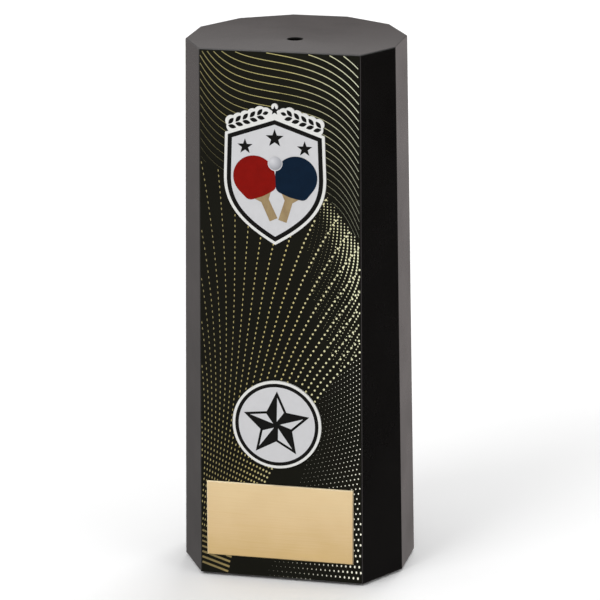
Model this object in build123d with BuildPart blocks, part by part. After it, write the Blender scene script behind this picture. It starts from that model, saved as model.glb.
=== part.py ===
from build123d import *
import os
from math import atan2, cos, radians, sin, sqrt

# Column trophy: a hollow ten-sided tapered column with a flat, slightly leaning front that carries
# a printed panel, a shield badge, a star disc and a blank engraving plate. A drilled hole in the top
# takes a figure, and a cover in the foot holds the ballast and the felt.
# Millimetres. Origin: centre of the regular twelve-gon, on the floor. Front faces -Y, top is +Z.

# Column
HEIGHT = 150.0
RIM = 0.6                      # lower rim of the moulding above the floor
TOP_RADIUS = 30.3              # to the corners of the twelve-gon
FOOT_RADIUS = 32.5
TOP_FRONT = 19.8               # from the axis to the flat front
FOOT_FRONT = 22.5
WALL = 2.4
TOP_WALL = 2.6
EDGE_RADIUS = 0.3
HALF_FACET = radians(15)
CORNERS = [radians(a) for a in (75, 105, 135, 165)]

# Hole for the figure
FIGURE_X = 0.35
FIGURE_Y = -3.2
FIGURE_BORE = 2.25
FIGURE_BOSS = 5.5
FIGURE_DEPTH = 8.0

# Foot: felt, cover and screws, from the floor up
FELT_THICKNESS = 1.6
COVER_THICKNESS = 2.4
COVER_TOP = FELT_THICKNESS + COVER_THICKNESS
COVER_GAP = 0.25
FELT_GAP = 0.6
FELT_PUNCH = 2.9
SCREW_PLACES = [(-16.0, -15.6), (16.0, -15.6), (-13.5, 20.5), (13.5, 20.5)]
SCREW_OUTWARD = [-90, -90, 120, 60]   # degrees from +X, the way each boss's rib runs to the wall
BOSS_RADIUS = 3.25
BOSS_RIB = (4.8, 1.6)
BOSS_HEIGHT = 26.0
PILOT_RADIUS = 1.2
PILOT_DEPTH = 14.0
SCREW_SHANK = 1.15
SCREW_TIP = 0.3
SCREW_HEAD = 2.5
SCREW_LENGTH = 12.0
SCREW_POINT = 1.5
SCREW_SLOT = (3.2, 0.6, 0.8)
SINK_RADIUS = 2.6
SINK_HOLE = 1.5

# Ballast
BALLAST = (34.0, 24.0, 36.0)
BALLAST_Y = 2.4
BALLAST_CORNER = 2.0
TRAY_GAP = 0.3
TRAY_WALL = 2.0
TRAY_HEIGHT = 6.0
PAD_THICKNESS = 4.0
FIN_X = 7.5
FIN_WALL = 1.6
FIN_FRONT = -19.5
FIN_BACK = 28.8

# What is fixed to the front, measured up its slope from the rim
TAPE = 0.1
PANEL = 0.3
PANEL_MARGIN = 0.35
BADGE = 0.3
DISC = 0.5
PLATE = 0.5
BADGE_X = -1.2
SHOULDER = (13.8, 126.9)
WAIST = (14.2, 115.0)
PEAK = 131.6
TIP = 96.1
BELLY = ((14.4, 106.2), (9.0, 101.3))
LEAF_LOW = (11.8, 128.5)
LEAF_HIGH = (12.1, 130.0)
LEAF_STEP = (-2.0, 0.7)
LEAF_PAIRS = 5
LEAF_LOBE = 1.6
LEAF_END = (2.5, 132.5)
KNOB = (0.0, 134.4)
KNOB_LOBE = 0.92
DISC_CENTRE = (-0.95, 45.0)
DISC_RADIUS = 12.55
PLATE_CENTRE = (-0.2, 16.6)
PLATE_SIZE = (41.8, 21.6)
PLATE_BEVEL = 0.25

LEAN = atan2(FOOT_FRONT - TOP_FRONT, HEIGHT - RIM)
SLOPE = sqrt((FOOT_FRONT - TOP_FRONT) ** 2 + (HEIGHT - RIM) ** 2)
front_face = Plane(origin=(0, -FOOT_FRONT, RIM), x_dir=(1, 0, 0), z_dir=(0, -cos(LEAN), sin(LEAN)))


def front_half_width(radius, front):
    """Half the width of the flat front, where it meets the facets that face 60 degrees off it."""
    return (radius * cos(HALF_FACET) - front * cos(radians(60))) / sin(radians(60))


def column_outline(z, inset=0.0):
    """The ten corners of the column at height z, with every side moved in by inset."""
    up = (z - RIM) / (HEIGHT - RIM)
    radius = FOOT_RADIUS + (TOP_RADIUS - FOOT_RADIUS) * up - inset / cos(HALF_FACET)
    front = FOOT_FRONT + (TOP_FRONT - FOOT_FRONT) * up - inset
    right = [(front_half_width(radius, front), -front)]
    right += [(radius * sin(a), -radius * cos(a)) for a in CORNERS]
    return right + [(-x, y) for x, y in reversed(right)]


def panel_outline():
    """The printed panel: the flat front less a narrow margin."""
    foot = front_half_width(FOOT_RADIUS, FOOT_FRONT) - PANEL_MARGIN
    top = front_half_width(TOP_RADIUS, TOP_FRONT) - PANEL_MARGIN
    low = PANEL_MARGIN
    high = SLOPE - PANEL_MARGIN
    return [(-foot, low), (foot, low), (top, high), (-top, high)]


def shield_face():
    """The badge's outline: a pointed shield under a crest of leaf lobes, about its own centre line."""
    for side in (1, -1):
        waist = (side * WAIST[0], WAIST[1])
        shoulder = (side * SHOULDER[0], SHOULDER[1])
        with BuildLine() as edge:
            Polyline((0, TIP), (0, PEAK), shoulder, waist)
            Bezier(waist, *[(side * x, y) for x, y in BELLY], (0, TIP))
        make_face(edge.edges())
        lobes = [(side * LEAF_END[0], LEAF_END[1])]
        for pair in range(LEAF_PAIRS):
            for leaf in (LEAF_LOW, LEAF_HIGH):
                lobes.append((side * (leaf[0] + pair * LEAF_STEP[0]), leaf[1] + pair * LEAF_STEP[1]))
        with Locations(*lobes):
            Circle(LEAF_LOBE)
        outer_leaf = (side * LEAF_LOW[0], LEAF_LOW[1])
        Polygon((0, SHOULDER[1]), outer_leaf, lobes[0], KNOB, align=None)
    with Locations(KNOB):
        Circle(KNOB_LOBE)


os.makedirs("parts", exist_ok=True)

# Column shell: one hollow moulding, open at the foot
with BuildPart() as column_shell:
    for z in (RIM, HEIGHT):
        with BuildSketch(Plane.XY.offset(z)):
            Polygon(*column_outline(z), align=None)
    loft(ruled=True)
    fillet(column_shell.edges(), EDGE_RADIUS)
    for z in (RIM, HEIGHT - TOP_WALL):
        with BuildSketch(Plane.XY.offset(z)):
            Polygon(*column_outline(z, WALL), align=None)
    loft(ruled=True, mode=Mode.SUBTRACT)
    with BuildSketch(Plane.XY.offset(COVER_TOP)):
        with Locations(*SCREW_PLACES):
            Circle(BOSS_RADIUS)
        with Locations(*[Location((x, y, 0), (0, 0, a)) for (x, y), a in zip(SCREW_PLACES, SCREW_OUTWARD)]):
            Rectangle(*BOSS_RIB, align=(Align.MIN, Align.CENTER))
    extrude(amount=BOSS_HEIGHT)
    with BuildSketch(Plane.XY.offset(COVER_TOP)):
        with Locations(*SCREW_PLACES):
            Circle(PILOT_RADIUS)
    extrude(amount=PILOT_DEPTH, mode=Mode.SUBTRACT)
    fin_bottom = COVER_TOP + BALLAST[2] + PAD_THICKNESS
    with BuildSketch(Plane.XY.offset(fin_bottom)):
        with Locations((-FIN_X, (FIN_FRONT + FIN_BACK) / 2), (FIN_X, (FIN_FRONT + FIN_BACK) / 2)):
            Rectangle(FIN_WALL, FIN_BACK - FIN_FRONT)
    extrude(amount=HEIGHT - TOP_WALL / 2 - fin_bottom)
    with BuildSketch(Plane.XY.offset(HEIGHT - FIGURE_DEPTH)):
        with Locations((FIGURE_X, FIGURE_Y)):
            Circle(FIGURE_BOSS)
    extrude(amount=FIGURE_DEPTH - TOP_WALL / 2)
    with Locations((FIGURE_X, FIGURE_Y, HEIGHT)):
        Hole(radius=FIGURE_BORE, depth=FIGURE_DEPTH)
column_shell.part.label = "column_shell"
export_step(column_shell.part, "parts/column_shell.step")

# Base cover: closes the foot, with a tray for the ballast and countersunk holes from below
with BuildPart() as base_cover:
    with BuildSketch(Plane.XY.offset(FELT_THICKNESS)):
        Polygon(*column_outline(COVER_TOP, WALL + COVER_GAP), align=None)
    extrude(amount=COVER_THICKNESS)
    with BuildSketch(Plane.XY.offset(COVER_TOP)):
        with Locations((0, BALLAST_Y)):
            around = TRAY_GAP + TRAY_WALL
            RectangleRounded(BALLAST[0] + 2 * around, BALLAST[1] + 2 * around, BALLAST_CORNER + around)
            RectangleRounded(
                BALLAST[0] + 2 * TRAY_GAP,
                BALLAST[1] + 2 * TRAY_GAP,
                BALLAST_CORNER + TRAY_GAP,
                mode=Mode.SUBTRACT,
            )
    extrude(amount=TRAY_HEIGHT)
    with Locations(*[Location((x, y, FELT_THICKNESS), (180, 0, 0)) for x, y in SCREW_PLACES]):
        CounterSinkHole(radius=SINK_HOLE, counter_sink_radius=SINK_RADIUS, counter_sink_angle=90)
base_cover.part.label = "base_cover"
export_step(base_cover.part, "parts/base_cover.step")

# Base screws: four countersunk self-tapping screws with a cross slot
with BuildPart() as base_screws:
    head_height = SCREW_HEAD - SCREW_SHANK
    upright = (Align.CENTER, Align.CENTER, Align.MIN)
    shank_top = FELT_THICKNESS + SCREW_LENGTH
    with Locations(*[(x, y, FELT_THICKNESS) for x, y in SCREW_PLACES]):
        Cone(SCREW_HEAD, SCREW_SHANK, head_height, align=upright)
        Cylinder(SCREW_SHANK, SCREW_LENGTH, align=upright)
        Box(*SCREW_SLOT, align=upright, mode=Mode.SUBTRACT)
        Box(*SCREW_SLOT, rotation=(0, 0, 90), align=upright, mode=Mode.SUBTRACT)
    with Locations(*[(x, y, shank_top) for x, y in SCREW_PLACES]):
        Cone(SCREW_SHANK, SCREW_TIP, SCREW_POINT, align=upright)
base_screws.part.label = "base_screws"
export_step(base_screws.part, "parts/base_screws.step")

# Base felt: stands proud of the rim and is punched over the screws
with BuildPart() as base_felt:
    with BuildSketch():
        Polygon(*column_outline(RIM, WALL + FELT_GAP), align=None)
        with Locations(*SCREW_PLACES):
            Circle(FELT_PUNCH, mode=Mode.SUBTRACT)
    extrude(amount=FELT_THICKNESS)
base_felt.part.label = "base_felt"
export_step(base_felt.part, "parts/base_felt.step")

# Ballast block and the foam pad that the fins press down on it
with BuildPart() as ballast_block:
    with BuildSketch(Plane.XY.offset(COVER_TOP)):
        with Locations((0, BALLAST_Y)):
            RectangleRounded(BALLAST[0], BALLAST[1], BALLAST_CORNER)
    extrude(amount=BALLAST[2])
ballast_block.part.label = "ballast_block"
export_step(ballast_block.part, "parts/ballast_block.step")

with BuildPart() as ballast_pad:
    with BuildSketch(Plane.XY.offset(COVER_TOP + BALLAST[2])):
        with Locations((0, BALLAST_Y)):
            RectangleRounded(BALLAST[0], BALLAST[1], BALLAST_CORNER)
    extrude(amount=PAD_THICKNESS)
ballast_pad.part.label = "ballast_pad"
export_step(ballast_pad.part, "parts/ballast_pad.step")

# Front panel: a printed sheet on a full tape backing
with BuildPart() as panel_tape:
    with BuildSketch(front_face):
        Polygon(*panel_outline(), align=None)
    extrude(amount=TAPE)
panel_tape.part.label = "panel_tape"
export_step(panel_tape.part, "parts/panel_tape.step")

with BuildPart() as front_panel:
    with BuildSketch(front_face.offset(TAPE)):
        Polygon(*panel_outline(), align=None)
    extrude(amount=PANEL)
front_panel.part.label = "front_panel"
export_step(front_panel.part, "parts/front_panel.step")

panel_face = front_face.offset(TAPE + PANEL)

# Shield badge on its tape
badge_face = panel_face.shift_origin(panel_face.from_local_coords((BADGE_X, 0, 0)))
with BuildPart() as shield_tape:
    with BuildSketch(badge_face):
        shield_face()
    extrude(amount=TAPE)
shield_tape.part.label = "shield_tape"
export_step(shield_tape.part, "parts/shield_tape.step")

with BuildPart() as shield_badge:
    with BuildSketch(badge_face.offset(TAPE)):
        shield_face()
    extrude(amount=BADGE)
shield_badge.part.label = "shield_badge"
export_step(shield_badge.part, "parts/shield_badge.step")

# Star disc on its tape
with BuildPart() as disc_tape:
    with BuildSketch(panel_face):
        with Locations(DISC_CENTRE):
            Circle(DISC_RADIUS)
    extrude(amount=TAPE)
disc_tape.part.label = "disc_tape"
export_step(disc_tape.part, "parts/disc_tape.step")

with BuildPart() as star_disc:
    with BuildSketch(panel_face.offset(TAPE)):
        with Locations(DISC_CENTRE):
            Circle(DISC_RADIUS)
    extrude(amount=DISC)
star_disc.part.label = "star_disc"
export_step(star_disc.part, "parts/star_disc.step")

# Engraving plate with bevelled edges on its tape
with BuildPart() as plate_tape:
    with BuildSketch(panel_face):
        with Locations(PLATE_CENTRE):
            Rectangle(*PLATE_SIZE)
    extrude(amount=TAPE)
plate_tape.part.label = "plate_tape"
export_step(plate_tape.part, "parts/plate_tape.step")

with BuildPart() as engraving_plate:
    with BuildSketch(panel_face.offset(TAPE)):
        with Locations(PLATE_CENTRE):
            Rectangle(*PLATE_SIZE)
    extrude(amount=PLATE)
    outer_face = engraving_plate.faces().sort_by(Axis.Y)[0]
    chamfer(outer_face.edges(), PLATE_BEVEL)
engraving_plate.part.label = "engraving_plate"
export_step(engraving_plate.part, "parts/engraving_plate.step")
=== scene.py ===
import math

import bpy
import numpy as np
from mathutils import Matrix, Vector

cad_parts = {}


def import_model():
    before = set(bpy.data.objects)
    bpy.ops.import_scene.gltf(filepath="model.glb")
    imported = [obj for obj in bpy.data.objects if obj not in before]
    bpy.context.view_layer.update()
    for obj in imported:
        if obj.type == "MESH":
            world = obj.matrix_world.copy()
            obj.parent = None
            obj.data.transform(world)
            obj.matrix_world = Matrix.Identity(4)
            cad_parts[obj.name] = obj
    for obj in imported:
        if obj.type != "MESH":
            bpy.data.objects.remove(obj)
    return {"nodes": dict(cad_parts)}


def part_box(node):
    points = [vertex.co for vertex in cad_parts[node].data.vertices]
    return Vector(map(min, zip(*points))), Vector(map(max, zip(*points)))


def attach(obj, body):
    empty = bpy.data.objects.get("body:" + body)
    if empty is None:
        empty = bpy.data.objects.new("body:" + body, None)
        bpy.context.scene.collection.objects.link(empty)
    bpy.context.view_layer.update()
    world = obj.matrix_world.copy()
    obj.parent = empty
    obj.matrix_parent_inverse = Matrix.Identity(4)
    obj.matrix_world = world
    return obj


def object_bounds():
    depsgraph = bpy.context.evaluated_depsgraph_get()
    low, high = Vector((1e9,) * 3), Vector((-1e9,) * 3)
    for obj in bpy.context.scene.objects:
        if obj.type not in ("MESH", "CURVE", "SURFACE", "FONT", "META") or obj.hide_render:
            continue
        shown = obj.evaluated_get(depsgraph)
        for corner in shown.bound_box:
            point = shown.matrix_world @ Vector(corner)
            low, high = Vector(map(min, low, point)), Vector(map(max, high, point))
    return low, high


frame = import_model()
nodes = frame["nodes"]
cad_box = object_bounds()
MM = 0.001
BORE = Vector((0.35, -3.2, 0.0)) * MM     # the middle of the hole in the column's top


# ---------------------------------------------------------------- the leaning front
# A place on the front is x mm right of its centre line, s mm up its slope and h mm off the panel.

def front_axes():
    """The leaning front: a point at the foot of the panel's outer face, the way up it and out of it."""
    mesh = nodes["front_panel"].data
    face = max((p for p in mesh.polygons if p.normal.y < 0), key=lambda p: p.area)
    out = face.normal.copy()
    out.x = 0.0
    out.normalize()
    up = Vector((1, 0, 0)).cross(out) * -1
    outer = [v.co for v in mesh.vertices if v.co.dot(out) > face.center.dot(out) - 1e-6]
    foot = min(outer, key=lambda co: co.z)
    return Vector((0.0, foot.y, foot.z)), up, out


FOOT, UP, OUT = front_axes()
PANEL_MARGIN = 0.35            # mm of bare column round the panel
SLOPE_HEIGHT = (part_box("front_panel")[1].z - FOOT.z) / UP.z / MM + PANEL_MARGIN
TOP_CORNERS = [v.co for v in nodes["front_panel"].data.vertices if v.co.z > FOOT.z + 0.1]
HALF_AT_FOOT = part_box("front_panel")[1].x / MM + PANEL_MARGIN
HALF_AT_TOP = max(co.x for co in TOP_CORNERS) / MM + PANEL_MARGIN


def lift_of(node):
    """How far a node's outer face stands out from the panel's, in mm."""
    return (max(v.co.dot(OUT) for v in nodes[node].data.vertices) - FOOT.dot(OUT)) / MM


def footprint(node):
    """A node's middle on the front, x and s, and its width and height there, to a hundredth of a mm."""
    places = [v.co - FOOT for v in nodes[node].data.vertices]
    xs = [place.x / MM for place in places]
    heights = [place.dot(UP) / MM + PANEL_MARGIN for place in places]
    middle = (min(xs) + max(xs)) / 2, (min(heights) + max(heights)) / 2
    return [round(value, 2) for value in (*middle, max(xs) - min(xs), max(heights) - min(heights))]


def on_front(x, s, h):
    """A place on the front as a point in space."""
    return FOOT + Vector((x, 0, 0)) * MM + UP * ((s - PANEL_MARGIN) * MM) + OUT * (h * MM)


def half_width(s):
    """Half the width of the column's flat front, s mm up the slope."""
    return HALF_AT_FOOT + (HALF_AT_TOP - HALF_AT_FOOT) * s / SLOPE_HEIGHT


# ---------------------------------------------------------------- flat shapes, in mm on the front

def circle(x, s, radius, count=48):
    return [(x + radius * math.cos(a), s + radius * math.sin(a))
            for a in np.linspace(0, 2 * math.pi, count, endpoint=False)]


def star(x, s, tip, notch, turn=0.0):
    """A five-pointed star's ten corners, tip first. turn is in degrees, anticlockwise."""
    corners = []
    for k in range(10):
        radius = notch if k % 2 else tip
        angle = math.radians(90 + turn + 36 * k)
        corners.append((x + radius * math.cos(angle), s + radius * math.sin(angle)))
    return corners


def leaf(x, s, length, width, angle):
    """A pointed leaf: two arcs between its tips."""
    turn = math.radians(angle)
    outline = []
    for side in (-1, 1):
        for t in np.linspace(-1, 1, 9)[:-1]:
            along, across = -side * t * length / 2, side * width / 2 * (1 - t * t)
            outline.append((x + along * math.cos(turn) - across * math.sin(turn),
                            s + along * math.sin(turn) + across * math.cos(turn)))
    return outline


def bezier(start, handle_a, handle_b, end, count=24):
    t = np.linspace(0, 1, count)[:, None]
    points = [np.array(p, float) for p in (start, handle_a, handle_b, end)]
    curve = ((1 - t) ** 3 * points[0] + 3 * (1 - t) ** 2 * t * points[1]
             + 3 * (1 - t) * t ** 2 * points[2] + t ** 3 * points[3])
    return [tuple(p) for p in curve]


def area_of(outline):
    return sum(ax * by - bx * ay for (ax, ay), (bx, by) in zip(outline, outline[1:] + outline[:1])) / 2


def inset(outline, by):
    """An anticlockwise outline with every side moved in: by is one distance, or one for each side."""
    count = len(outline)
    by = [by] * count if np.isscalar(by) else by
    lines = []
    for k in range(count):
        a, b = np.array(outline[k]), np.array(outline[(k + 1) % count])
        along = (b - a) / np.linalg.norm(b - a)
        inward = np.array([-along[1], along[0]])
        lines.append((a + inward * by[k], along))
    moved = []
    for k in range(count):
        (p, u), (q, v) = lines[k - 1], lines[k]
        cross = u[0] * v[1] - u[1] * v[0]
        if abs(cross) < 1e-3:
            moved.append(tuple(q))
            continue
        d = q - p
        t = (d[0] * v[1] - d[1] * v[0]) / cross
        moved.append(tuple(p + u * t))
    return moved


def hull(points):
    """The convex outline round a set of points, anticlockwise."""
    points = sorted(set((round(x, 4), round(s, 4)) for x, s in points))
    sides = []
    for run in (points, points[::-1]):
        side = []
        for p in run:
            while len(side) > 1 and ((side[-1][0] - side[-2][0]) * (p[1] - side[-2][1])
                                     - (side[-1][1] - side[-2][1]) * (p[0] - side[-2][0])) <= 0:
                side.pop()
            side.append(p)
        sides += side[:-1]
    return sides


def inside(outline, x, s):
    """Whether a point lies inside an outline."""
    hit = False
    for (ax, ay), (bx, by) in zip(outline, outline[1:] + outline[:1]):
        if (ay > s) != (by > s) and x < (bx - ax) * (s - ay) / (by - ay) + ax:
            hit = not hit
    return hit


class Ink:
    """Printed shapes on the front, gathered as closed prisms between two heights above the panel."""

    def __init__(self):
        self.points = []
        self.faces = []

    def _layers(self, outline, low, high):
        """Adds an outline's points at both heights, and gives the number of the first."""
        start = len(self.points)
        for h in (low, high):
            self.points += [(x, s, h) for x, s in outline]
        return start

    def shape(self, outline, low, high):
        """A filled outline."""
        if area_of(outline) < 0:
            outline = outline[::-1]
        count = len(outline)
        start = self._layers(outline, low, high)
        self.faces.append([start + k for k in reversed(range(count))])
        self.faces.append([start + count + k for k in range(count)])
        for k in range(count):
            n = (k + 1) % count
            self.faces.append([start + k, start + n, start + count + n, start + count + k])

    def ring(self, outer, inner, low, high):
        """The band between two outlines with the same number of points."""
        count = len(outer)
        a = self._layers(outer, low, high)
        b = self._layers(inner, low, high)
        for k in range(count):
            n = (k + 1) % count
            self.faces.append([a + count + k, a + count + n, b + count + n, b + count + k])
            self.faces.append([a + k, b + k, b + n, a + n])
            self.faces.append([a + k, a + n, a + count + n, a + count + k])
            self.faces.append([b + n, b + k, b + count + k, b + count + n])

    def stroke(self, path, widths, low, high):
        """A line of changing width along a path."""
        path = np.array(path)
        along = np.gradient(path, axis=0)
        along /= np.linalg.norm(along, axis=1)[:, None]
        side = np.stack([-along[:, 1], along[:, 0]], 1) * np.array(widths)[:, None] / 2
        left, right = path + side, path - side
        count = len(path)
        a = self._layers([tuple(p) for p in left], low, high)
        b = self._layers([tuple(p) for p in right], low, high)
        for k in range(count - 1):
            n = k + 1
            self.faces.append([b + count + k, b + count + n, a + count + n, a + count + k])
            self.faces.append([b + k, a + k, a + n, b + n])
            self.faces.append([a + k, a + count + k, a + count + n, a + n])
            self.faces.append([b + k, b + n, b + count + n, b + count + k])
        self.faces.append([a, b, b + count, a + count])
        last = count - 1
        self.faces.append([a + last, a + count + last, b + count + last, b + last])

    def piece(self, name, material, slot):
        """Makes everything gathered one object that goes with the column."""
        mesh = bpy.data.meshes.new(name)
        mesh.from_pydata([on_front(*p) for p in self.points], [], self.faces)
        mesh.validate()
        mesh.materials.append(material)
        made = bpy.data.objects.new(name, mesh)
        bpy.context.scene.collection.objects.link(made)
        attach(made, "root")
        return made


# ---------------------------------------------------------------- materials

def srgb(r, g, b):
    """An 8-bit screen colour as Blender's linear one."""
    return tuple((c / 255 / 12.92) if c <= 10 else ((c / 255 + 0.055) / 1.055) ** 2.4 for c in (r, g, b))


class Nodes:
    """A node tree, with short ways to add what the looks here are made of."""

    def __init__(self, tree):
        self.tree = tree

    def feed(self, target, value):
        """Gives an input socket another node's output, or a plain value."""
        if isinstance(value, bpy.types.NodeSocket):
            self.tree.links.new(value, target)
        else:
            target.default_value = value

    def node(self, kind, **values):
        """A new node: values are its own settings, or else they go to the inputs of those names."""
        made = self.tree.nodes.new(kind)
        for key, value in values.items():
            if hasattr(made, key):
                setattr(made, key, value)
            else:
                self.feed(made.inputs[key.replace("_", " ")], value)
        return made

    def split(self, source):
        """A vector's X, Y and Z sockets."""
        return self.node("ShaderNodeSeparateXYZ", Vector=source).outputs

    def math(self, operation, *sources):
        made = self.node("ShaderNodeMath", operation=operation)
        for target, source in zip(made.inputs, sources):
            self.feed(target, source)
        return made.outputs["Value"]

    def vector(self, operation, *sources):
        made = self.node("ShaderNodeVectorMath", operation=operation)
        for target, source in zip(made.inputs, sources):
            self.feed(target, source)
        return made.outputs["Value" if operation == "DISTANCE" else "Vector"]

    def range(self, source, from_low, from_high, to_low, to_high):
        """A value moved from one range to another, and held at its ends."""
        return self.node("ShaderNodeMapRange", Value=source, From_Min=from_low, From_Max=from_high,
                         To_Min=to_low, To_Max=to_high).outputs["Result"]

    def ramp(self, source, stops):
        """Colours along a factor: stops are (place, linear colour)."""
        made = self.node("ShaderNodeValToRGB", Fac=source)
        elements = made.color_ramp.elements
        while len(elements) < len(stops):
            elements.new(0.5)
        for element, (place, colour) in zip(elements, stops):
            element.position = place
            element.color = (*colour, 1)
        return made.outputs["Color"]


class Surface(Nodes):
    """A Principled material whose colour, roughness and bump come from object-space noise."""

    def __init__(self, name, **fixed):
        self.material = bpy.data.materials.new(name)
        self.material.use_nodes = True
        super().__init__(self.material.node_tree)
        self.shader = self.tree.nodes["Principled BSDF"]
        for socket, value in fixed.items():
            self.shader.inputs[socket.replace("_", " ")].default_value = value
        self.place = self.node("ShaderNodeTexCoord").outputs["Object"]

    def noise(self, scale, detail=3.0, rough=0.55, stretch=None):
        """Noise over the object. stretch is how much finer it is along each axis."""
        place = self.place
        if stretch:
            place = self.node("ShaderNodeMapping", Vector=place, Scale=stretch).outputs["Vector"]
        made = self.node("ShaderNodeTexNoise", Vector=place, Scale=scale, Detail=detail, Roughness=rough)
        return made.outputs["Fac"]

    def spread(self, noise, low, high):
        """Noise, which lies mostly between 0.3 and 0.7, spread from low to high."""
        return self.range(noise, 0.3, 0.7, low, high)

    def source(self, name):
        """What feeds one of the shader's inputs now."""
        return self.shader.inputs[name].links[0].from_socket

    def colour(self, source):
        self.feed(self.shader.inputs["Base Color"], source)

    def roughness(self, source, low, high):
        self.feed(self.shader.inputs["Roughness"], self.spread(source, low, high))

    def bump(self, source, distance):
        made = self.node("ShaderNodeBump", Height=source, Strength=1.0, Distance=distance)
        self.feed(self.shader.inputs["Normal"], made.outputs["Normal"])


def shade(colour, by):
    return tuple(min(1.0, c * by) for c in colour)


def moulded(name, colour, low, high, grain=900.0, depth=0.00001, **fixed):
    """Moulded plastic: slow colour drift, uneven gloss and a fine grain."""
    made = Surface(name, **fixed)
    made.colour(made.ramp(made.noise(35.0), [(0.35, shade(colour, 0.88)), (0.65, shade(colour, 1.12))]))
    made.roughness(made.noise(60.0, 4.0), low, high)
    made.bump(made.noise(grain, 2.0), depth)
    return made


INK_GRAIN = 0.000004           # m, how deep the grain in printed ink is


def ink(name, colour, spread, low, high, **fixed):
    """Printed ink: a faint mottle in the colour, and a slightly uneven gloss."""
    made = Surface(name, **fixed)
    mottle = [(0.3, shade(colour, 1 - spread)), (0.7, shade(colour, 1 + spread))]
    made.colour(made.ramp(made.noise(420.0, 4.0), mottle))
    made.roughness(made.noise(150.0), low, high)
    made.bump(made.noise(1800.0, 2.0), INK_GRAIN)
    return made


def ball_ink():
    """The ball's ink: it darkens away from a bright spot at the upper left, as a lit ball does."""
    made = Surface("ball_ink")
    bright_spot, fade = on_front(-1.9, 119.5, 0.4), 3.2 * MM
    away = made.range(made.vector("DISTANCE", made.place, bright_spot), 0.0, fade, 0.0, 1.0)
    made.colour(made.ramp(away, [
        (0.0, srgb(197, 198, 201)), (0.45, srgb(169, 170, 175)), (1.0, srgb(122, 124, 130))]))
    made.roughness(made.noise(150.0), 0.3, 0.4)
    made.bump(made.noise(1800.0, 2.0), INK_GRAIN)
    return made


def wood_ink():
    """The bats' handles: fine printed streaks."""
    made = Surface("wood_ink")
    streak = made.noise(300.0, 5.0, 0.6, (3.0, 1.0, 1.0))
    made.colour(made.ramp(streak, [(0.3, srgb(129, 107, 71)), (0.7, srgb(148, 128, 87))]))
    made.roughness(made.noise(200.0), 0.3, 0.4)
    made.bump(made.noise(1500.0), INK_GRAIN)
    return made


def gold_ink(name, left, right, fade_from, fade_to, faded, lean=0.0):
    """Gold ink that pales to the right and darkens down the panel, from height fade_from to fade_to.

    faded is what is left of it there. lean, in metres, is how much further left the pale end
    reaches near the foot.
    """
    made = Surface(name, Metallic=0.25)
    place = made.split(made.place)
    edge = 22 * MM             # half the panel's width
    leaning = made.math("ADD", place["X"], made.range(place["Z"], 0.02, 0.065, lean, 0.0))
    across = made.range(leaning, -edge, edge, 0.0, 1.0)
    tone = made.ramp(across, [(0.0, shade(left, 0.6)), (0.2, left), (0.55, shade(left, 1.35)), (1.0, right)])
    drop = made.range(place["Z"], fade_to, fade_from, faded, 1.0)
    mottle = made.spread(made.noise(500.0), 0.9, 1.1)
    scaled = made.node("ShaderNodeVectorMath", operation="SCALE", Scale=made.math("MULTIPLY", drop, mottle))
    made.feed(scaled.inputs[0], tone)
    made.colour(scaled.outputs["Vector"])
    made.roughness(made.noise(200.0), 0.3, 0.45)
    made.bump(made.noise(2000.0, 2.0), INK_GRAIN)
    return made


def brushed_gold():
    """Gold aluminium brushed along its length, paler at the top, with a painted highlight along its cut
    edges, which are also paler bare metal.
    """
    made = Surface("gold_plate", Metallic=0.75, Anisotropic=0.5)
    place = made.split(made.place)
    low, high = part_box("engraving_plate")
    streak = made.noise(60.0, 8.0, 0.7, (1.0, 40.0, 40.0))
    streaks = made.spread(streak, -0.22, 0.22)
    clouds = made.spread(made.noise(90.0, 2.0), -0.12, 0.12)
    rising = made.range(place["Z"], 0.006, 0.028, 0.0, 1.0)
    tone = made.ramp(made.math("ADD", made.math("ADD", streaks, rising), clouds), [
        (0.0, srgb(200, 176, 123)), (0.5, srgb(212, 190, 144)), (1.0, srgb(220, 201, 157))])
    cut = 0.16                 # how much brighter the painted highlight makes the cut edges
    # Painted highlight: the base colour is lifted along the plate's cut side and top edges.
    sideways = made.math("ABSOLUTE", made.range(place["X"], low.x, high.x, -1.0, 1.0))
    side_edge_highlights = made.range(sideways, 0.987, 0.989, 0.0, cut)
    top_edge_highlight = made.range(place["Z"], high.z - 0.0003, high.z - 0.00025, 0.0, cut)
    made.colour(made.vector("ADD", tone, made.math("MAXIMUM", side_edge_highlights, top_edge_highlight)))
    made.roughness(streak, 0.34, 0.5)
    made.bump(streak, 0.000008)
    return made


def black_plastic():
    """The column's gloss plastic, duller low down, most on the left, with a painted reflection that makes
    its top paler in front of the bore.
    """
    made = moulded("black_plastic", srgb(9, 8, 7), 0.2, 0.28, depth=0.0000015, Specular_IOR_Level=0.42)
    place = made.split(made.place)
    # Painted reflection: the top's base colour is made paler toward the front and in front of the bore.
    from_bore = made.vector("MULTIPLY_ADD", made.place, (1, 1, 0), -BORE)
    facing = made.split(made.vector("NORMALIZE", from_bore))
    top = cad_box[1].z
    on_top = made.range(place["Z"], top - 0.0004, top - 0.0001, 0.0, 1.0)
    reflection_toward_front = made.math("ADD", made.range(facing["Y"], -1.0, 1.0, 0.03, 0.0),
                             made.range(place["Y"], -0.018, 0.024, 0.038, 0.0))
    painted_reflection = made.math("MULTIPLY", on_top, reflection_toward_front)
    made.colour(made.vector("ADD", made.source("Base Color"), painted_reflection))
    at_foot = made.range(place["X"], -0.02, 0.02, 0.2, 0.06)
    duller = made.range(place["Z"], 0.01, 0.14, at_foot, 0.0)
    made.feed(made.shader.inputs["Roughness"], made.math("ADD", duller, made.source("Roughness")))
    return made


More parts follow.
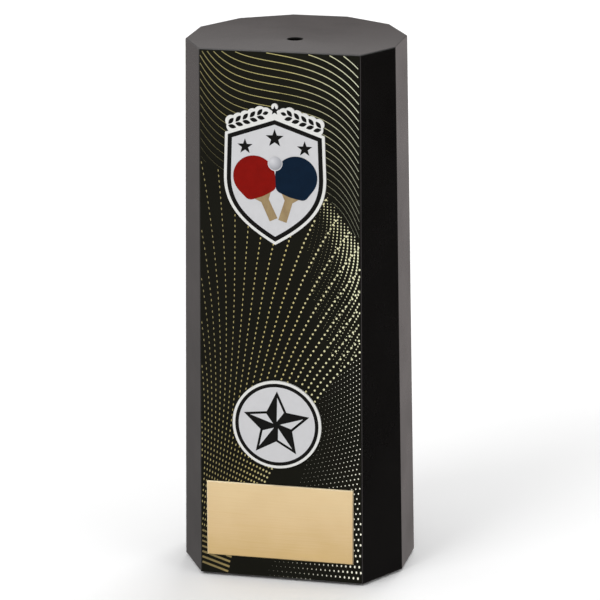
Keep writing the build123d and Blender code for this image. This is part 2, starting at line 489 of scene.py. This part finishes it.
def felt():
    """Dark felt with a matted nap."""
    made = Surface("felt", Sheen_Weight=0.4, Sheen_Roughness=0.6)
    made.colour(made.ramp(made.noise(700.0, 6.0, 0.7), [(0.3, srgb(14, 14, 15)), (0.7, srgb(44, 44, 46))]))
    made.roughness(made.noise(500.0), 0.85, 0.98)
    made.bump(made.noise(900.0, 6.0, 0.75), 0.00025)
    return made


def screw_zinc():
    """The screws' bright zinc plating."""
    made = Surface("screw_zinc", Metallic=1.0)
    made.colour(made.ramp(made.noise(300.0), [(0.3, srgb(150, 150, 148)), (0.7, srgb(196, 196, 190))]))
    made.roughness(made.noise(400.0), 0.25, 0.42)
    made.bump(made.noise(900.0), 0.00001)
    return made


BLACK_PLASTIC = black_plastic()
COVER_PLASTIC = moulded("cover_plastic", srgb(30, 30, 30), 0.45, 0.6, grain=500.0, depth=0.00004)
PANEL_INK = moulded("panel_ink", srgb(22, 22, 17), 0.34, 0.42, grain=2200.0, depth=0.000003,
                    Specular_IOR_Level=0.02)
WHITE_STOCK = ink("white_stock", srgb(211, 211, 208), 0.02, 0.28, 0.36, Specular_IOR_Level=0.1)
FIELD_INK = ink("field_ink", srgb(193, 193, 195), 0.02, 0.28, 0.36, Specular_IOR_Level=0.1)
BLACK_INK = ink("black_ink", srgb(17, 17, 16), 0.12, 0.3, 0.4, Specular_IOR_Level=0.04)
RED_INK = ink("red_ink", srgb(121, 14, 8), 0.08, 0.3, 0.4, Specular_IOR_Level=0.04)
BLUE_INK = ink("blue_ink", srgb(8, 26, 44), 0.1, 0.3, 0.4, Specular_IOR_Level=0.04)
BALL_INK = ball_ink()
WOOD_INK = wood_ink()
GOLD_PLATE = brushed_gold()
GOLD_LINES = gold_ink("gold_lines", srgb(156, 149, 94), srgb(206, 212, 184), 0.142, 0.114, 0.55)
GOLD_DASHES = gold_ink("gold_dashes", srgb(158, 147, 92), srgb(228, 230, 192), 0.11, 0.02, 0.84, 0.014)
GOLD_STRIPES = gold_ink("gold_stripes", srgb(142, 126, 74), srgb(180, 168, 124), 0.008, 0.0, 0.95)
WHITE_DOTS = gold_ink("white_dots", srgb(150, 150, 136), srgb(240, 240, 222), 0.1, 0.0, 1.0)
FELT = felt()
SCREW_ZINC = screw_zinc()
CAST_IRON = moulded("cast_iron", srgb(62, 60, 58), 0.5, 0.75, grain=450.0, depth=0.0003, Metallic=0.8)
PAD_FOAM = moulded("pad_foam", srgb(40, 40, 42), 0.8, 0.95, grain=1200.0, depth=0.0002)
TAPE_EDGE = moulded("tape_edge", srgb(196, 194, 186), 0.5, 0.65, grain=800.0, depth=0.00002)
DARK_TAPE = moulded("dark_tape", srgb(34, 34, 32), 0.5, 0.65, grain=800.0, depth=0.00002)

CAD_MATERIALS = {
    "column_shell": BLACK_PLASTIC, "base_cover": COVER_PLASTIC, "base_felt": FELT,
    "base_screws": SCREW_ZINC, "ballast_block": CAST_IRON, "ballast_pad": PAD_FOAM,
    "front_panel": PANEL_INK, "panel_tape": DARK_TAPE, "shield_badge": WHITE_STOCK,
    "shield_tape": TAPE_EDGE, "star_disc": WHITE_STOCK, "disc_tape": TAPE_EDGE,
    "engraving_plate": GOLD_PLATE, "plate_tape": DARK_TAPE,
}
for node, surface in CAD_MATERIALS.items():
    nodes[node].data.materials.clear()
    nodes[node].data.materials.append(surface.material)


# ---------------------------------------------------------------- the shield badge, disc and plate

INK = 0.02                     # thickness of one layer of print, mm
BADGE_LIFT = lift_of("shield_badge")
DISC_LIFT = lift_of("star_disc")
BADGE_X = footprint("shield_badge")[0]
DISC_X, DISC_S, DISC_WIDTH, _ = footprint("star_disc")
PLATE_X, PLATE_S, PLATE_WIDTH, PLATE_HEIGHT = footprint("engraving_plate")


def shield_outline():
    """The shield's right half from its peak down to its tip, and the left half back up."""
    right = [(13.8, 126.9)] + bezier((14.2, 115.0), (14.4, 106.2), (9.0, 101.3), (0.0, 96.1))
    left = [(-x, s) for x, s in reversed(right[:-1])]
    outline = [(0.0, 131.6)] + right + left
    return [(BADGE_X + x, s) for x, s in outline][::-1]


SHIELD = shield_outline()


def covered(x, s):
    """Whether the badge, the disc or the plate hides this point of the panel."""
    if abs(x - PLATE_X) < PLATE_WIDTH / 2 and abs(s - PLATE_S) < PLATE_HEIGHT / 2:
        return True
    if math.hypot(x - DISC_X, s - DISC_S) < DISC_WIDTH / 2:
        return True
    sideways = abs(x - BADGE_X)
    in_crest = sideways < 13.0 and 127.0 < s < 134.6 - 0.33 * sideways
    return in_crest or inside(SHIELD, x, s)


def draw_badge():
    """The shield's grey field, its black band and stars, and the crest's star and leaves."""
    black, field, low = Ink(), Ink(), BADGE_LIFT
    band_outer, band_inner = inset(SHIELD, 0.78), inset(SHIELD, 1.98)
    field.shape(band_inner, low, low + INK)
    black.ring(band_outer, band_inner, low, low + INK)
    for x, s, tip in ((0.0, 125.7, 2.6), (-8.25, 123.15, 2.22), (8.3, 123.15, 2.22)):
        black.shape(star(BADGE_X + x, s, tip, 0.41 * tip), low + INK, low + 2 * INK)
    black.shape(star(BADGE_X, 133.35, 1.3, 0.58), low, low + INK)
    for side in (-1, 1):
        for pair in range(5):
            inward, rise = 2.0 * pair, 0.69 * pair
            lower = leaf(BADGE_X + side * (11.8 - inward), 128.5 + rise, 2.3, 1.15, side * 12)
            upper = leaf(BADGE_X + side * (12.1 - inward), 130.0 + rise, 2.3, 1.1, -side * 51)
            black.shape(lower, low, low + INK)
            black.shape(upper, low, low + INK)
        black.shape(leaf(BADGE_X + side * 2.5, 132.55, 1.75, 1.0, -side * 20), low, low + INK)
    field.piece("shield_field", FIELD_INK.material, "badge_print")
    black.piece("shield_black", BLACK_INK.material, "badge_print")


def draw_bat(name, rubber_ink, x, s, tilt):
    """A bat about the middle of its blade, its handle hanging down and turned by tilt degrees."""
    turn = math.radians(tilt)

    def placed(points):
        return [(x + a * math.cos(turn) - b * math.sin(turn), s + a * math.sin(turn) + b * math.cos(turn))
                for a, b in points]

    # The blade is the outline round one large circle and a small one at each lower corner.
    radius, corner_x, corner_s, corner = 5.85, 2.85, -3.7, 1.9
    blade = hull(circle(0, 0, radius, 72) + circle(-corner_x, corner_s, corner)
                 + circle(corner_x, corner_s, corner))
    handle = [(-2.7, -5.4), (2.7, -5.4), (1.15, -7.2), (1.2, -12.95), (-1.2, -12.95), (-1.15, -7.2)]
    low = BADGE_LIFT + INK
    wood, rubber = Ink(), Ink()
    wood.shape(placed(handle), low, low + INK)
    rubber.shape(placed(blade), low + INK, low + 2 * INK)
    wood.piece(name + "_handle", WOOD_INK.material, "badge_print")
    rubber.piece(name + "_blade", rubber_ink.material, "badge_print")


def draw_ball():
    """The ball on a pale disc a little larger than itself, over the bats."""
    ball, halo = Ink(), Ink()
    low = BADGE_LIFT + 3 * INK
    x = BADGE_X + 0.1
    halo.shape(circle(x, 118.8, 2.05), low, low + INK)
    ball.shape(circle(x, 118.88, 1.87), low + INK, low + 2 * INK)
    halo.piece("ball_halo", FIELD_INK.material, "badge_print")
    ball.piece("table_tennis_ball", BALL_INK.material, "badge_print")


def draw_disc():
    """The disc's grey field, its black band, and a black star with a pale facet in each point."""
    low = DISC_LIFT
    field, black, white = Ink(), Ink(), Ink()
    inner, outer = circle(DISC_X, DISC_S, 10.8, 96), circle(DISC_X, DISC_S, 11.8, 96)
    field.shape(inner, low, low + INK)
    black.ring(outer, inner, low, low + INK)
    centre = (-1.05, 44.9)
    corners = star(*centre, 9.75, 4.72, -1.2)
    black.shape(corners, low + INK, low + 2 * INK)
    margins = [0.52, 0.68, 0.1]            # black left along the notch's side, the edge and the ridge
    for tip in range(0, 10, 2):
        facet = [centre, corners[tip - 1], corners[tip]]
        white.shape(inset(facet, margins), low + 2 * INK, low + 3 * INK)
    field.piece("disc_field", FIELD_INK.material, "disc_print")
    black.piece("disc_black", BLACK_INK.material, "disc_print")
    white.piece("disc_star_facets", FIELD_INK.material, "disc_print")


draw_badge()
draw_bat("red_bat", RED_INK, -6.95, 114.9, 24.5)
draw_bat("blue_bat", BLUE_INK, 4.75, 115.15, -17.5)
draw_ball()
draw_disc()


# ---------------------------------------------------------------- the panel's lines and dots

LEFT_END, STEP = -22.9, 0.2    # where lines begin, and the spacing of their points
FAN_LAST = 16                  # the number of the fan's last column on the right


def span_of(s):
    """The left and right ends of the print at height s."""
    half = half_width(s)
    return 0.45 - half, half - 0.5


def draw_runs(layer, points):
    """Draws a line through points of (x, s, width), broken wherever a point is None."""
    run = []
    for point in points + [None]:
        if point:
            run.append(point)
            continue
        if len(run) > 3:
            layer.stroke([(x, s) for x, s, _ in run], [width for _, _, width in run], 0.0, INK)
        run = []


def fine_top(x):
    """Where the fine dots on the right end and the wave lines begin."""
    return 109.8 - 1.4 * (x - 13.4)


def wave_height(x, number):
    """The height of a wave line at x. Line 0 crosses the centre near the top, and line 1 lies below it.

    The lines rise to the left and drop to the right of the centre, more steeply toward the edges.
    """
    first, pitch = 146.45, 2.06
    down, out = number / 20, (x / 22) ** 2
    level = first - pitch * number - 0.135 * x + 0.0022 * number * x
    if x < 0:
        bend = 0.3 + 0.73 * down - 4.34 * down ** 2
        curl = 8.34 + 1.8 * down - 1.8 * down ** 2
    else:
        bend = -(2.96 + 0.11 * down - 10.0 * down ** 2)
        curl = -(4.62 + 6.55 * down + 8.27 * down ** 2)
    return level + out * bend + out ** 2 * curl


def wave_width(x, s, number, lowest):
    """Wave lines thin out towards their lower ends, and the top ones widen to the right."""
    reach, least = (30.0, 0.1) if x < 0 else (19.0, 0.25)
    share = least + (1 - least) * min(1.0, max(0.0, (s - lowest) / reach))
    wide = 0.45 * min(1.0, max(0.0, (x - 4) / 10)) if number <= 2 else 0.0
    return 0.2 * share * (1 - 0.012 * max(0.0, x)) + 0.13 * wide


def draw_waves():
    """The wave lines of the upper panel, where nothing covers them and the dots haven't begun."""
    lines = Ink()
    top = SLOPE_HEIGHT - 0.06
    for number in range(-4, 24):
        points = []
        for x in np.arange(LEFT_END, 22.6, STEP):
            s = wave_height(x, number)
            left, right = span_of(min(s, top))
            lowest = 101.5 - 0.8 * x if x < 0 else fine_top(x) + 0.5
            shown = left <= x <= right and lowest < s < top and not covered(x, s)
            points.append((x, s, wave_width(x, s, number, lowest)) if shown else None)
        draw_runs(lines, points)
    lines.piece("panel_wave_lines", GOLD_LINES.material, "panel_print")


def column_x(number, s):
    """The fan's dashed columns: column 0 is the upright one near the left."""
    spread = 1.45 * np.exp(0.0188 * (s - 60))
    bend = 0.06 * np.exp(0.021 * (s - 60)) - 0.0245
    x = -16.95 - 0.0016 * (s - 63) ** 2 + spread * number + bend * number ** 2
    return x + 0.1 * np.maximum(0.0, x - 7) * np.clip((s - 55) / 15, 0, 1)


def fan_edge(s):
    """The fan's right edge, which its last column follows."""
    return column_x(FAN_LAST, s)


def row_slope(s):
    """How far a row of dashes drops for each mm to the right."""
    return 0.45 * (1 - 0.5 * np.exp(-s / 12))


def dot(layer, x, s, length, width, along=(0.0, 1.0), count=10):
    """A rounded dash or dot, its length along the given direction."""
    outline = []
    for a in np.linspace(0, 2 * math.pi, count, endpoint=False):
        u, v = math.cos(a) * width / 2, math.sin(a) * length / 2
        outline.append((x + u * along[1] + v * along[0], s - u * along[0] + v * along[1]))
    layer.shape(outline, 0.0, INK)


def draw_fan():
    """Dashes along the fan's columns, in rows that drop to the right, and fatter on the right."""
    dashes = Ink()
    row_0, pitch = 65.8, 1.58              # where row 0 crosses column 0, and from row to row there
    heights = np.arange(8.0, 121.0, 0.05)
    for number in range(-7, FAN_LAST + 1):
        xs = column_x(number, heights)
        rows = (heights - row_0 + row_slope(heights) * (xs - column_x(0, heights))) / pitch
        for row in range(int(rows[0]) + 1, int(rows[-1]) + 1):
            s = float(np.interp(row, rows, heights))
            x = float(column_x(number, s))
            left, right = span_of(s)
            ceiling = 119.5 - 0.5 * (x + 22) if x < 12 else fine_top(x)
            if not left + 0.1 < x < right or s > ceiling or covered(x, s):
                continue
            lean = float(column_x(number, s + 0.5) - column_x(number, s - 0.5))
            along = (lean / math.hypot(lean, 1), 1 / math.hypot(lean, 1))
            share = min(1.0, max(0.0, (x + 14) / 24, (number - 4) / 12))
            dot(dashes, x, s, 0.74 - 0.12 * share, 0.25 + 0.31 * share, along)
    dashes.piece("panel_fan_dashes", GOLD_DASHES.material, "panel_print")


def draw_stripes():
    """The fan's foot, where its dashes run together into slanting stripes."""
    stripes = Ink()
    for row in range(-42, -30):
        points = []
        for x in np.arange(LEFT_END, -13.8, STEP):
            s = 65.8 + 1.45 * row
            for _ in range(6):             # the column leans, so the height is found in a few rounds
                s = 65.0 + 1.47 * row - 0.3 * (x - column_x(0, s))
            left, right = span_of(s)
            end = -14.1 - 0.25 * (5.5 - s)
            shown = left < x < min(right, end) and 0.45 < s < 13.0 and not covered(x, s)
            points.append((x, s, 0.6 if s < 6 else 0.6 - 0.04 * (s - 6)) if shown else None)
        draw_runs(stripes, points)
    stripes.piece("panel_stripes", GOLD_STRIPES.material, "panel_print")


def draw_fine_dots():
    """The finer columns on the right, which bow to the lower left.

    Their dots grow just below the top and shrink again further down, and are larger on the right.
    """
    fine = Ink()
    column_pitch, dot_pitch, stagger = 0.94, 0.84, 0.4
    steepest = 0.54                        # how far a column leans, at most, for each mm down
    for number in range(-3, 24):
        top_x = 13.3 + column_pitch * number
        top = fine_top(top_x)
        bow = 0.011 + 0.0012 * max(0, number)
        reach = steepest / 2 / bow
        for step in range(70):
            s = top - dot_pitch * step - stagger * (number % 2)
            drop = max(0.0, top - 3.5 - s)
            if drop < reach:
                x = top_x - bow * drop ** 2
            else:
                x = top_x - (steepest / 2 * reach + steepest * (drop - reach))
            left, right = span_of(s)
            edge = 7.6 + 0.0065 * (98 - s) ** 2
            if not edge <= x <= right or s > 110 or covered(x, s) or x > fan_edge(s) - 0.5:
                continue
            across = min(1.0, max(0.0, (x - 11) / 11))
            base = 0.09 + 0.2 * across
            glow = 3.5 + 9.0 * across
            growing = min(1.0, max(0.25, (top - s) / 2.5))
            fading = min(1.0, max(0.0, (2 * glow - (top - s)) / glow))
            bright = growing * fading
            size = base + (0.3 + 0.14 * across - base) * bright
            dot(fine, x, s, size * (1.2 + 0.4 * across * bright), size, count=8)
    fine.piece("panel_fine_dots", GOLD_DASHES.material, "panel_print")


def draw_white_dots():
    """The halftone on the lower right: leaning columns whose dots grow towards the corner."""
    white = Ink()
    for number in range(-32, 12):
        for step in range(-12, 40):
            s = level = 56.6 - 1.45 * step - 0.0007 * step * abs(step)
            for _ in range(4):             # a row's tilt changes with its height
                s = level + number * (0.53 - 0.01 * (57 - s))
            pitch = 0.85 + 0.0085 * max(0.0, 53 - s)
            x = 22.25 - 0.0061 * max(0.0, 50.5 - s) ** 2 + number * pitch
            left, right = span_of(s)
            if x > right or not 0.45 < s < 70 or x < fan_edge(s) + 0.7 or covered(x, s):
                continue
            start = -6.0 + 0.36 * min(s, 45)
            share = (x - start) / (22 - start)
            if share < 0.05:
                continue
            size = 0.085 + (0.195 + 0.32 * max(0.0, 1 - s / 42)) * share ** 1.35
            tall = max(0.0, 1 - s / 40)
            dot(white, x, s, size * (1.1 + 0.35 * tall), size * (1 - 0.12 * tall), count=8)
    white.piece("panel_white_dots", WHITE_DOTS.material, "panel_print")


draw_waves()
draw_fan()
draw_stripes()
draw_fine_dots()
draw_white_dots()


# ---------------------------------------------------------------- studio

def floor():
    """A wide round floor under the felt."""
    radius, lowest = 4.0, cad_box[0].z
    ring = [(x, y, lowest) for x, y in circle(0.0, 0.0, radius, 64)]
    mesh = bpy.data.meshes.new("floor")
    mesh.from_pydata(ring, [], [list(range(len(ring)))])
    made = bpy.data.objects.new("floor", mesh)
    bpy.context.scene.collection.objects.link(made)
    pale = Surface("pale_floor")
    pale.colour(pale.ramp(pale.noise(6.0), [(0.3, (0.94, 0.94, 0.94)), (0.7, (0.96, 0.96, 0.96))]))
    pale.roughness(pale.noise(20.0), 0.7, 0.8)
    mesh.materials.append(pale.material)
    made.visible_glossy = False


def area_light(name, place, size, power):
    """A round light aimed at the middle of the column. power is in watts."""
    light = bpy.data.lights.new(name, "AREA")
    light.shape = "DISK"
    light.size = size
    light.energy = power
    made = bpy.data.objects.new(name, light)
    made.location = place
    made.rotation_mode = "QUATERNION"
    made.rotation_quaternion = (Vector((0, 0, 0.07)) - Vector(place)).to_track_quat("-Z", "Y")
    bpy.context.scene.collection.objects.link(made)
    return made


def world():
    """A white room. Gloss sees it bright straight in front, dim behind and dark between the two.

    Gloss also sees a bright ceiling, a bright floor and a bright wall on the left.
    """
    made = bpy.data.worlds.new("studio")
    bpy.context.scene.world = made
    made.use_nodes = True
    made.node_tree.nodes.clear()
    room = Nodes(made.node_tree)
    way = room.split(room.node("ShaderNodeTexCoord").outputs["Generated"])
    tint = (1.0, 0.91, 0.895)
    levels = ((0.0, 0.85), (0.1, 0.8), (0.2, 0.01), (0.65, 0.01), (0.83, 0.27), (0.965, 0.36))
    front_to_back = room.range(way["Y"], -1.0, 1.0, 0.0, 1.0)
    walls = room.ramp(front_to_back, [(place, shade(tint, level)) for place, level in levels])
    above_and_below = room.range(room.math("ABSOLUTE", way["Z"]), 0.92, 0.96, 0.0, 1.0)
    on_left = room.range(way["X"], -0.82, -0.92, 0.0, 1.0)
    panels = room.node("ShaderNodeMix", data_type="RGBA")
    room.feed(panels.inputs[0], room.math("MAXIMUM", above_and_below, on_left))
    wall_colour, panel_colour = [socket for socket in panels.inputs if socket.type == "RGBA"]
    room.feed(wall_colour, walls)
    room.feed(panel_colour, (1, 0.98, 0.96, 1))
    seen = [socket for socket in panels.outputs if socket.type == "RGBA"][0]
    light = room.node("ShaderNodeBackground", Color=(1, 1, 1, 1), Strength=0.7)
    dimming = room.range(way["Z"], -0.05, 0.15, 1.6, 0.97)
    gloss = room.node("ShaderNodeBackground", Color=seen, Strength=dimming)
    glossy = room.node("ShaderNodeLightPath").outputs["Is Glossy Ray"]
    both = room.node("ShaderNodeMixShader", Fac=glossy)
    room.feed(both.inputs[1], light.outputs["Background"])
    room.feed(both.inputs[2], gloss.outputs["Background"])
    room.node("ShaderNodeOutputWorld", Surface=both.outputs["Shader"])


def camera():
    """A long lens, 13 degrees to the right of the front and 16 above the horizon."""
    azimuth, elevation, roll = math.radians(13.484), math.radians(16.308), math.radians(0.423)
    distance = 0.9658
    target = Vector((0, 0, 0.075))
    back = Vector((math.sin(azimuth) * math.cos(elevation), -math.cos(azimuth) * math.cos(elevation),
                   math.sin(elevation)))
    lens = bpy.data.cameras.new("camera")
    lens.sensor_width = 36.0
    lens.lens = 207.6
    lens.shift_x = 0.0027
    lens.shift_y = 0.0001
    lens.clip_start, lens.clip_end = 0.05, 50.0
    made = bpy.data.objects.new("camera", lens)
    made.location = target + back * distance
    made.rotation_mode = "QUATERNION"
    aim = (-back).to_track_quat("-Z", "Y").to_matrix().to_4x4()
    made.rotation_quaternion = (aim @ Matrix.Rotation(-roll, 4, "Z")).to_quaternion()
    bpy.context.scene.collection.objects.link(made)
    bpy.context.scene.camera = made


floor()
world()
area_light("key", (-0.9, -1.5, 1.5), 1.2, 19.0)
area_light("fill", (1.6, -0.9, 1.2), 1.0, 4.0)
rear = area_light("rear", (0.2, 1.6, 1.4), 1.2, 18.0)
rear.visible_glossy = False                # else it draws a bright line along the top's edge
camera()
bpy.context.scene.view_settings.view_transform = "Standard"
